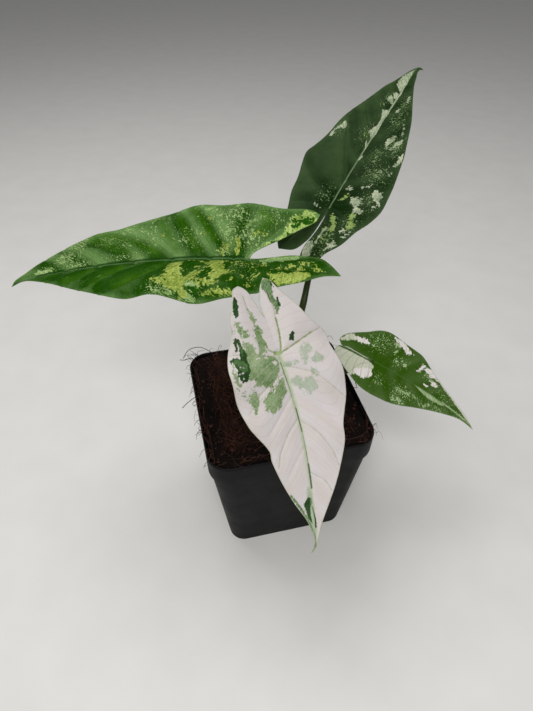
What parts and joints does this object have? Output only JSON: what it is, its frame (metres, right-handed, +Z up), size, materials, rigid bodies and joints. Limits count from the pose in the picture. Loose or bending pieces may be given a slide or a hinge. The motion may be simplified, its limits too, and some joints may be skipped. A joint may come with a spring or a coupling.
{
  "type": "potted simpo alocasia",
  "caption": "Variegated arrow-leaved alocasia growing in a square nursery pot of coir, with waved blades marked in white, cream and green.",
  "frame": {"origin": "middle of the pot's underside, on the surface that the pot rests on", "axes": "+Z up, +X to the viewer's right and +Y away from the viewer, square with the pot's sides"},
  "size_m": [0.2308, 0.187, 0.2266],
  "materials": {
    "pot": "thin moulded black polypropylene, matt with a faint sheen",
    "substrate": "dark red-brown coir fibre and husk, loose and matt",
    "crown": "fibrous stem base with dry brown sheaths",
    "petiole": "smooth fleshy stalk, olive green",
    "blade_green": "waxy leaf with quilted veins, green with pale marks",
    "blade_white": "waxy leaf, white with sage and dark green marks"
  },
  "bodies": {
    "root": {"pot": "pot", "substrate": "substrate", "crown": "crown", "petiole_left": "petiole", "petiole_back": "petiole", "petiole_front": "petiole", "petiole_right": "petiole", "blade_left": "blade_green", "blade_back": "blade_green", "blade_front": "blade_white", "blade_right": "blade_green"}
  },
  "joints": []
}
